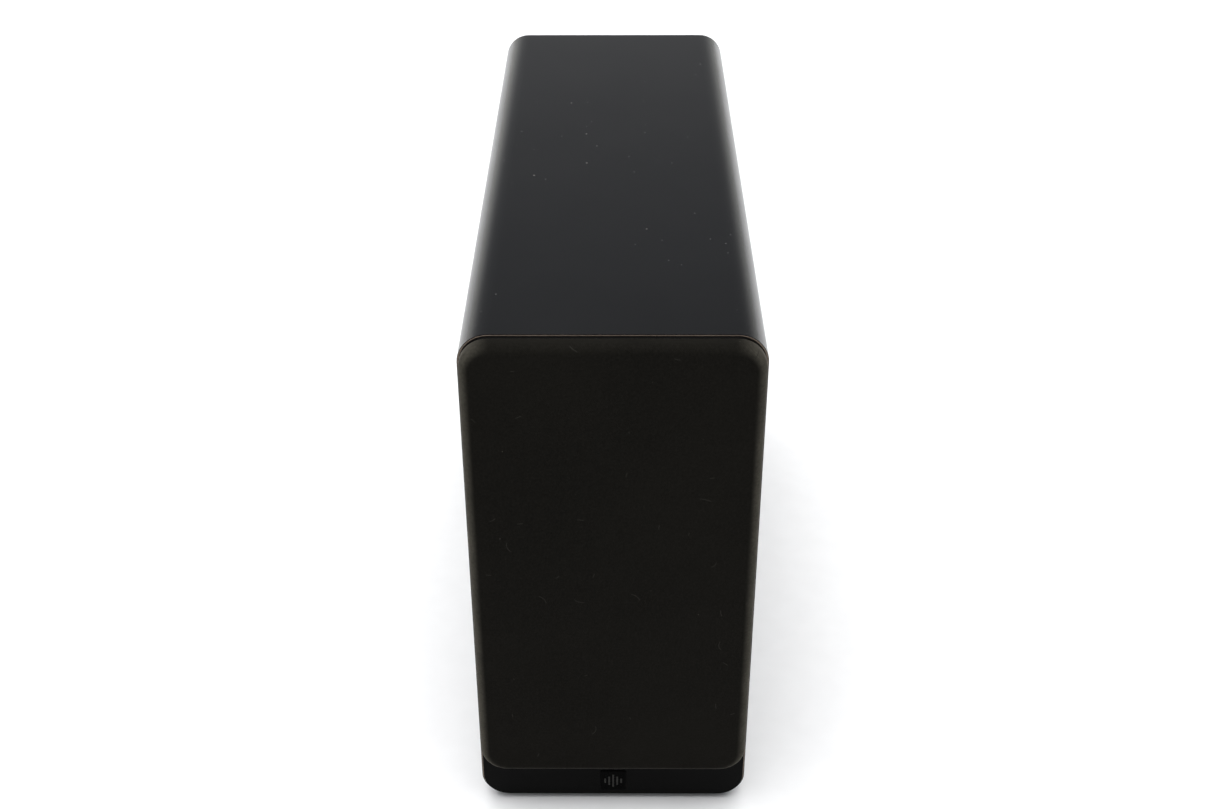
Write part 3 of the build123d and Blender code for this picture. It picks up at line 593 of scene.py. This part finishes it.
def silk():
    dark, light = (0.010, 0.010, 0.011), (0.026, 0.026, 0.028)
    m, base = woven("coated_silk", dark, light, 0.4 * MM, 0.42, 0.05 * MM, 0.5)
    m.specular(0.5)
    m.coat(0.25, 0.3)
    m.colour(base)
    return m.material


def wadding():
    m = Material("polyester_wadding", (0.78, 0.78, 0.76), 0.95)
    m.specular(0.1)
    fibres = m.noise(420, 6)
    clumps = m.noise(60, 4)
    base = m.mix(m.ramp(clumps, 0.3, 0.7), (0.68, 0.68, 0.66), (0.84, 0.84, 0.82))
    m.colour(m.mix(m.ramp(fibres, 0.4, 0.65), base, (0.92, 0.92, 0.90)))
    m.sheen(0.5, 0.6)
    m.bump(fibres, 0.8, 1.2 * MM)
    return m.material


def assign(nodes, material):
    """Gives one material to the CAD nodes named in a string."""
    for name in nodes.split():
        mesh = NODES[name].data
        mesh.materials.clear()
        mesh.materials.append(material)


def finish_cad_nodes():
    assign("cabinet_wrap", satin_foil())
    assign("cabinet_sleeve", fibreboard())
    assign("front_baffle brace_front brace_rear", panel_fibreboard())
    assign("rear_panel", rear_board())
    assign("fascia", fascia_lacquer())
    assign("badge_plate", badge_lacquer())
    assign("badge_emblem", brushed("emblem_steel", (0.035, 0.035, 0.033), 0.4))
    assign("foot_front_left foot_front_right foot_rear_left foot_rear_right", rubber("foot_rubber"))
    assign("stand_inserts", plated("insert_brass", (0.72, 0.52, 0.22), 0.3))
    assign("cabinet_magnets grille_magnets", plated("nickel", (0.70, 0.68, 0.64)))
    assign("grille_frame", moulded("grille_moulding", (0.012, 0.012, 0.012), 0.55))
    assign("woofer_basket", powder_coat("basket_coat", (0.020, 0.020, 0.021)))
    black_oxide = powder_coat("black_oxide", (0.022, 0.021, 0.02), 0.35)
    assign("woofer_screws tweeter_screws rear_screws", black_oxide)
    assign("woofer_cone", cone_paper())
    assign("woofer_dust_cap", moulded("soft_cap", (0.016, 0.016, 0.016), 0.5, 1300, 0.15))
    assign("woofer_coil tweeter_coil", windings("voice_coil_wire", (0.80, 0.36, 0.16), 0.4 * MM))
    assign("coil_large", windings("large_coil_wire", (0.86, 0.38, 0.17), 1.2 * MM))
    assign("coil_small", windings("small_coil_wire", (0.84, 0.35, 0.15), 0.8 * MM))
    steel = brushed("zinc_steel", (0.58, 0.57, 0.55), 0.34, (300, 2500, 300))
    assign("woofer_top_plate woofer_pole tweeter_top_plate tweeter_pole", steel)
    assign("woofer_magnet tweeter_magnet", ferrite())
    assign("crossover_board woofer_terminals tweeter_terminals", circuit_board())
    assign("tweeter_faceplate", moulded("faceplate_moulding", (0.010, 0.010, 0.010), 0.4, 1200, 0.15))
    assign("terminal_cup port", moulded("cup_moulding", (0.014, 0.014, 0.014), 0.45))
    gold = plated("gold_flash", (0.86, 0.62, 0.26), 0.16)
    assign("stud_red stud_black washer_red washer_black terminal_nuts", gold)
    assign("cap_red", moulded("red_cap", (0.42, 0.008, 0.008), 0.22, 1500, 0.08))
    assign("cap_black", moulded("black_cap", (0.010, 0.010, 0.010), 0.22, 1500, 0.08))
    assign("capacitor_large capacitor_small", film_wrap())
    assign("power_resistor", cement())
    assign("output_block", moulded("block_nylon", (0.03, 0.22, 0.08), 0.45))
    assign("woofer_cable tweeter_cable", rubber("cable_jacket", (0.018, 0.018, 0.018), 0.5))
    assign("cable_clips", moulded("natural_nylon", (0.66, 0.64, 0.56), 0.5))


# Pieces -------------------------------------------------------------------------------


def piece_from(name, vertices, faces, material):
    mesh = bpy.data.meshes.new(name)
    mesh.from_pydata([tuple(v) for v in vertices], [], faces)
    build = bmesh.new()
    build.from_mesh(mesh)
    bmesh.ops.recalc_face_normals(build, faces=build.faces)
    build.to_mesh(mesh)
    build.free()
    for polygon in mesh.polygons:
        polygon.use_smooth = True
    mesh.materials.append(material)
    piece = bpy.data.objects.new(name, mesh)
    bpy.context.scene.collection.objects.link(piece)
    return piece


def apply_modifiers(piece):
    """Replaces the piece's mesh with what its modifiers make of it."""
    evaluated = piece.evaluated_get(bpy.context.evaluated_depsgraph_get())
    mesh = bpy.data.meshes.new_from_object(evaluated)
    piece.modifiers.clear()
    piece.data = mesh


def lathe(name, profile, z, material):
    """A closed ring turned about the driver axis at height z.

    The profile is (radius, out) points in millimetres, out being forward of the fascia.
    """
    vertices = []
    faces = []
    count = len(profile)
    for i in range(LATHE_STEPS):
        angle = 2 * math.pi * i / LATHE_STEPS
        for radius, out in profile:
            x = radius * MM * math.cos(angle)
            up = z + radius * MM * math.sin(angle)
            vertices.append((x, Y_FASCIA - out * MM, up))
    for i in range(LATHE_STEPS):
        for j in range(count):
            a = i * count + j
            b = i * count + (j + 1) % count
            c = (i + 1) % LATHE_STEPS * count + (j + 1) % count
            d = (i + 1) % LATHE_STEPS * count + j
            faces.append((a, b, c, d))
    return piece_from(name, vertices, faces, material)


def offset_profile(line, thick):
    """Closes an open line of (radius, out) points into a strip of even thickness behind it."""
    back = []
    for i, (radius, out) in enumerate(line):
        before = line[max(i - 1, 0)]
        after = line[min(i + 1, len(line) - 1)]
        dr, do = after[0] - before[0], after[1] - before[1]
        length = math.hypot(dr, do)
        back.append((radius + do / length * thick, out - dr / length * thick))
    return list(line) + back[::-1]


def blend_by_radius(piece):
    """Bakes the ring's placement into its mesh.
    """
    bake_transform(piece)


def half_roll(middle, half_width, base, height, steps, power=1.0):
    """Points (radius, out) outwards over a half roll, fuller than a half ellipse below power 1."""
    line = []
    for i in range(steps + 1):
        angle = math.pi * (1 - i / steps)
        out = base + height * math.sin(angle) ** power
        line.append((middle + half_width * math.cos(angle), out))
    return line


def woofer_surround():
    """A half roll of rubber with flat lips, glued to the cone and the basket."""
    middle, half_width, base, height, thick = 50.2, 4.2, -0.7, 3.9, 0.6
    inner_lip, outer_lip, lip = (43.6, 44.6), (55.5, 56.2), -0.8
    flex_start, flex_end, rise = 45.6, 54.9, -0.75
    line = [(radius, lip) for radius in inner_lip]
    line.append((flex_start, rise))
    line += half_roll(middle, half_width, base, height, 16, 0.9)
    line.append((flex_end, rise))
    line += [(radius, lip) for radius in outer_lip]
    profile = offset_profile(line, thick)
    piece = lathe("woofer_surround_rubber", profile, WOOFER_Z, rubber("surround_rubber"))
    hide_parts("woofer_surround")
    blend_by_radius(piece)


def woofer_spider():
    """A disc of cloth in seven waves between the voice coil and the basket."""
    start, width, depth, height, waves, steps = 15.5, 23.0, -32.75, 0.55, 7, 96
    coil_lip, flex_end, basket_lip, thick = (13.05, 14.6), 39.0, (39.4, 41.7), 0.45
    line = [(radius, -33.0) for radius in coil_lip]
    for i in range(steps + 1):
        t = i / steps
        line.append((start + width * t, depth + height * math.sin(2 * math.pi * waves * t)))
    line += zip(basket_lip, (-33.35, -33.4))
    piece = lathe("woofer_spider_cloth", offset_profile(line, thick), WOOFER_Z, spider_cloth())
    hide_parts("woofer_spider")
    blend_by_radius(piece)


def tweeter_surround():
    """A half roll of silk between the dome and the faceplate."""
    middle, half_width, base, height, thick = 14.45, 1.5, -5.0, 1.25, 0.25
    inner_lip, outer_lip, lip = 12.7, (16.2, 16.85), -5.02
    line = [(inner_lip, lip)]
    line += half_roll(middle, half_width, base, height, 12)
    line += [(radius, lip) for radius in outer_lip]
    piece = lathe("tweeter_surround_silk", offset_profile(line, thick), TWEETER_Z, silk())
    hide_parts("tweeter_surround")
    blend_by_radius(piece)


def dome_points(radius, centre, half_angle, rings, steps):
    """Points of one skin of the dome, about the tweeter's axis: its crown, then rings to its rim."""
    points = [(0, Y_FASCIA - (centre + radius) * MM, TWEETER_Z)]
    for i in range(1, rings + 1):
        angle = half_angle * i / rings
        y = Y_FASCIA - (centre + radius * math.cos(angle)) * MM
        for j in range(steps):
            turn = 2 * math.pi * j / steps
            x = radius * math.sin(angle) * math.cos(turn) * MM
            z = TWEETER_Z + radius * math.sin(angle) * math.sin(turn) * MM
            points.append((x, y, z))
    return points


def dome_faces(crown, rings, steps):
    """Faces of one skin of the dome, from the number of the point at its crown."""
    faces = []
    for j in range(steps):
        k = (j + 1) % steps
        faces.append((crown, crown + 1 + j, crown + 1 + k))
        for i in range(rings - 1):
            a = crown + 1 + i * steps
            b = a + steps
            faces.append((a + j, b + j, b + k, a + k))
    return faces


def tweeter_dome():
    """The coated silk dome: two spherical skins, joined at the rim."""
    radius, thick, half_angle, centre = 14.9, 0.33, math.radians(58), -13.1
    rings, steps = 20, 96
    vertices = dome_points(radius, centre, half_angle, rings, steps)
    inner_crown = len(vertices)
    vertices += dome_points(radius - thick, centre, half_angle, rings, steps)
    faces = dome_faces(0, rings, steps) + dome_faces(inner_crown, rings, steps)
    rim = inner_crown - steps
    inner_rim = rim + inner_crown
    for j in range(steps):
        k = (j + 1) % steps
        faces.append((rim + j, rim + k, inner_rim + k, inner_rim + j))
    piece = piece_from("tweeter_dome_silk", vertices, faces, silk())
    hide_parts("tweeter_dome")
    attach(piece, "tweeter_diaphragm")


def squared(value, power):
    """A sine or cosine pushed towards 1 or -1, which squares a circle off."""
    return math.copysign(abs(value) ** power, value)


def woofer_gasket():
    """A flat ring of foam with rounded edges, under the basket's flange."""
    middle, half_width, depth, half_height, steps, power = 63.2, 4.1, -5.25, 0.72, 24, 0.4
    profile = []
    for i in range(steps):
        angle = 2 * math.pi * i / steps
        radius = middle + half_width * squared(math.cos(angle), power)
        out = depth + half_height * squared(math.sin(angle), power)
        profile.append((radius, out))
    foam = moulded("closed_cell_foam", (0.02, 0.02, 0.02), 0.9, 700, 0.6)
    piece = lathe("woofer_gasket_foam", profile, WOOFER_Z, foam)
    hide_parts("woofer_gasket")
    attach(piece, "cabinet")


def rounded_loop(half_w, half_h, radius):
    """Points (x, z) round a rounded rectangle, the same count for every size."""
    points = []
    corners = ((1, 1, 0), (-1, 1, 90), (-1, -1, 180), (1, -1, 270))
    for sx, sz, start in corners:
        cx = sx * (half_w - radius)
        cz = sz * (half_h - radius)
        for i in range(CORNER_STEPS + 1):
            angle = math.radians(start + 90 * i / CORNER_STEPS)
            points.append(Vector((cx + radius * math.cos(angle), cz + radius * math.sin(angle))))
    loop = []
    for i, point in enumerate(points):
        loop.append(point)
        if i % (CORNER_STEPS + 1) == CORNER_STEPS:
            following = points[(i + 1) % len(points)]
            for j in range(1, SIDE_STEPS):
                loop.append(point.lerp(following, j / SIDE_STEPS))
    return loop


def cloth_rings():
    """(inset, y) of each ring of the cloth: lip, turn over the frame's back edge, side, edge, face."""
    front, back = CLOTH_LO.y, CLOTH_HI.y
    behind = back + LIP_GAP
    rings = [(LIP_WIDTH, behind), (LIP_WIDTH / 2, behind), (0.9 * MM, behind)]
    rings += [(0.25 * MM, back + 0.1 * MM), (0.0, back - 0.7 * MM), (0.0, front + CLOTH_EDGE)]
    for i in range(1, EDGE_STEPS + 1):
        angle = math.radians(90 * i / EDGE_STEPS)
        inset = CLOTH_EDGE * (1 - math.cos(angle))
        rings.append((inset, front + CLOTH_EDGE * (1 - math.sin(angle))))
    for inset in FACE_RINGS_MM:
        rings.append((inset * MM, front))
    return rings


def grille_cloth():
    """The cloth, wrapped from the lip behind the frame over its sides and rounded edge to the front."""
    half = (CLOTH_HI - CLOTH_LO) / 2
    middle = (CLOTH_HI + CLOTH_LO) / 2
    vertices = []
    faces = []
    rings = cloth_rings()
    for inset, y in rings:
        radius = max(CLOTH_CORNER - inset, CLOTH_MIN_CORNER)
        for point in rounded_loop(half.x - inset, half.z - inset, radius):
            vertices.append((middle.x + point.x, y, middle.z + point.y))
    count = len(vertices) // len(rings)
    for i in range(len(rings) - 1):
        for j in range(count):
            k = (j + 1) % count
            faces.append((i * count + j, i * count + k, (i + 1) * count + k, (i + 1) * count + j))
    faces.append(tuple(range((len(rings) - 1) * count, len(rings) * count)))
    piece = piece_from("grille_cloth_sheet", vertices, faces, grille_fabric())
    shell = piece.modifiers.new("thickness", "SOLIDIFY")
    shell.thickness = CLOTH_T
    shell.offset = -1
    apply_modifiers(piece)
    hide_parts("grille_cloth")
    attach(piece, "grille")


def hold_inside(point):
    """The nearest point to (x, z) that is clear of the cabinet's inner wall."""
    half = (LINING_HI - LINING_LO).x / 2 - WALL_CLEARANCE
    top = LINING_HI.z - WALL_CLEARANCE
    x = min(max(point.x, -half), half)
    z = min(point.z, top)
    side = math.copysign(half - LINING_CORNER, x)
    beyond = Vector((max(abs(x) - abs(side), 0.0), max(z - (top - LINING_CORNER), 0.0)))
    if beyond.length > LINING_CORNER:
        beyond *= LINING_CORNER / beyond.length
        x = math.copysign(abs(side) + beyond.x, x)
        z = top - LINING_CORNER + beyond.y
    return Vector((x, point.y, z))


def wall_distance(point):
    """Distance from the cabinet's nearest inner wall, at a side or above."""
    half = (LINING_HI - LINING_LO).x / 2
    return min(half - abs(point.x), LINING_HI.z - point.z)


def staple_places():
    """Where staples hold the wadding: rows up each side wall and along the top, on its inner face."""
    inner = (LINING_HI - LINING_LO).x / 2 - LINING_T
    places = []
    for y in STAPLE_YS:
        for z in STAPLE_ZS:
            places += [Vector((-inner, y, z)), Vector((inner, y, z))]
        for x in STAPLE_XS:
            places.append(Vector((x, y, LINING_HI.z - LINING_T)))
    return places


def pressed_in(point, staples):
    """How far, from 0 to 1, a staple presses the wadding at a point."""
    nearest = min((point - place).length for place in staples)
    return max(1.0 - nearest / STAPLE_REACH, 0.0) ** 2


def held_points(piece):
    """A vertex group of how firmly each point is held, full by the wall and at the staples."""
    staples = staple_places()
    held = piece.vertex_groups.new(name="held")
    for vertex in piece.data.vertices:
        at_wall = 1.0 if wall_distance(vertex.co) < HELD_DEPTH else 0.0
        at_staple = min(pressed_in(vertex.co, staples) * STAPLE_GRIP, 1.0)
        held.add([vertex.index], max(at_wall, at_staple), "REPLACE")
    return held


def swell(piece):
    """Blows the wadding up with a short cloth simulation."""
    start = [vertex.co.copy() for vertex in piece.data.vertices]
    held = held_points(piece)
    cloth = piece.modifiers.new("swell", "CLOTH")
    for name, value in SWELL_CLOTH.items():
        setattr(cloth.settings, name, value)
    cloth.settings.effector_weights.gravity = 0.0
    cloth.settings.vertex_group_mass = held.name
    cloth.point_cache.frame_start = 1
    cloth.point_cache.frame_end = SWELL_FRAMES
    for step in range(1, SWELL_FRAMES + 1):
        bpy.context.scene.frame_set(step)
    swollen = piece.evaluated_get(bpy.context.evaluated_depsgraph_get()).to_mesh()
    moved = [vertex.co.copy() for vertex in swollen.vertices]
    piece.modifiers.remove(cloth)
    bpy.context.scene.frame_set(1)
    for vertex, old, new in zip(piece.data.vertices, start, moved):
        step = new - old
        if step.length > SWELL_CAP:
            step *= SWELL_CAP / step.length
        vertex.co = hold_inside(old + step)


def press_staples(piece):
    """Dimples the wadding towards the wall behind it at each staple."""
    staples = staple_places()
    for vertex in piece.data.vertices:
        point = vertex.co
        inward = Vector((-math.copysign(1, point.x), 0, 0))
        if LINING_HI.z - point.z < (LINING_HI - LINING_LO).x / 2 - abs(point.x):
            inward = Vector((0, 0, -1))
        vertex.co = hold_inside(point - inward * STAPLE_DEPTH * pressed_in(point, staples))


def roughen(piece):
    """Adds small soft lumps, without pushing the wadding into the walls."""
    smooth = [(vertex.co.copy(), vertex.normal.copy()) for vertex in piece.data.vertices]
    for vertex, (point, normal) in zip(piece.data.vertices, smooth):
        lumps = noise.fractal(point / LUMP_SIZE, *LUMP_FRACTAL)
        vertex.co = hold_inside(point + normal * lumps * LUMP_HEIGHT)


def damping_wadding():
    """The strip of wadding, stapled to the walls and puffed up between its staples."""
    piece = bpy.data.objects.new("damping_wadding", NODES["damping_lining"].data.copy())
    bpy.context.scene.collection.objects.link(piece)
    remesh = piece.modifiers.new("even", "REMESH")
    remesh.mode = "VOXEL"
    remesh.voxel_size = WADDING_VOXEL
    apply_modifiers(piece)
    press_staples(piece)
    swell(piece)
    piece.modifiers.new("smooth", "SUBSURF").levels = 1
    apply_modifiers(piece)
    roughen(piece)
    for polygon in piece.data.polygons:
        polygon.use_smooth = True
    piece.data.materials.clear()
    piece.data.materials.append(wadding())
    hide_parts("damping_lining")
    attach(piece, "cabinet")


def main():
    make_camera()
    make_studio()
    make_floor()
    finish_cad_nodes()
    grille_cloth()
    woofer_gasket()
    woofer_surround()
    woofer_spider()
    tweeter_surround()
    tweeter_dome()
    damping_wadding()


main()
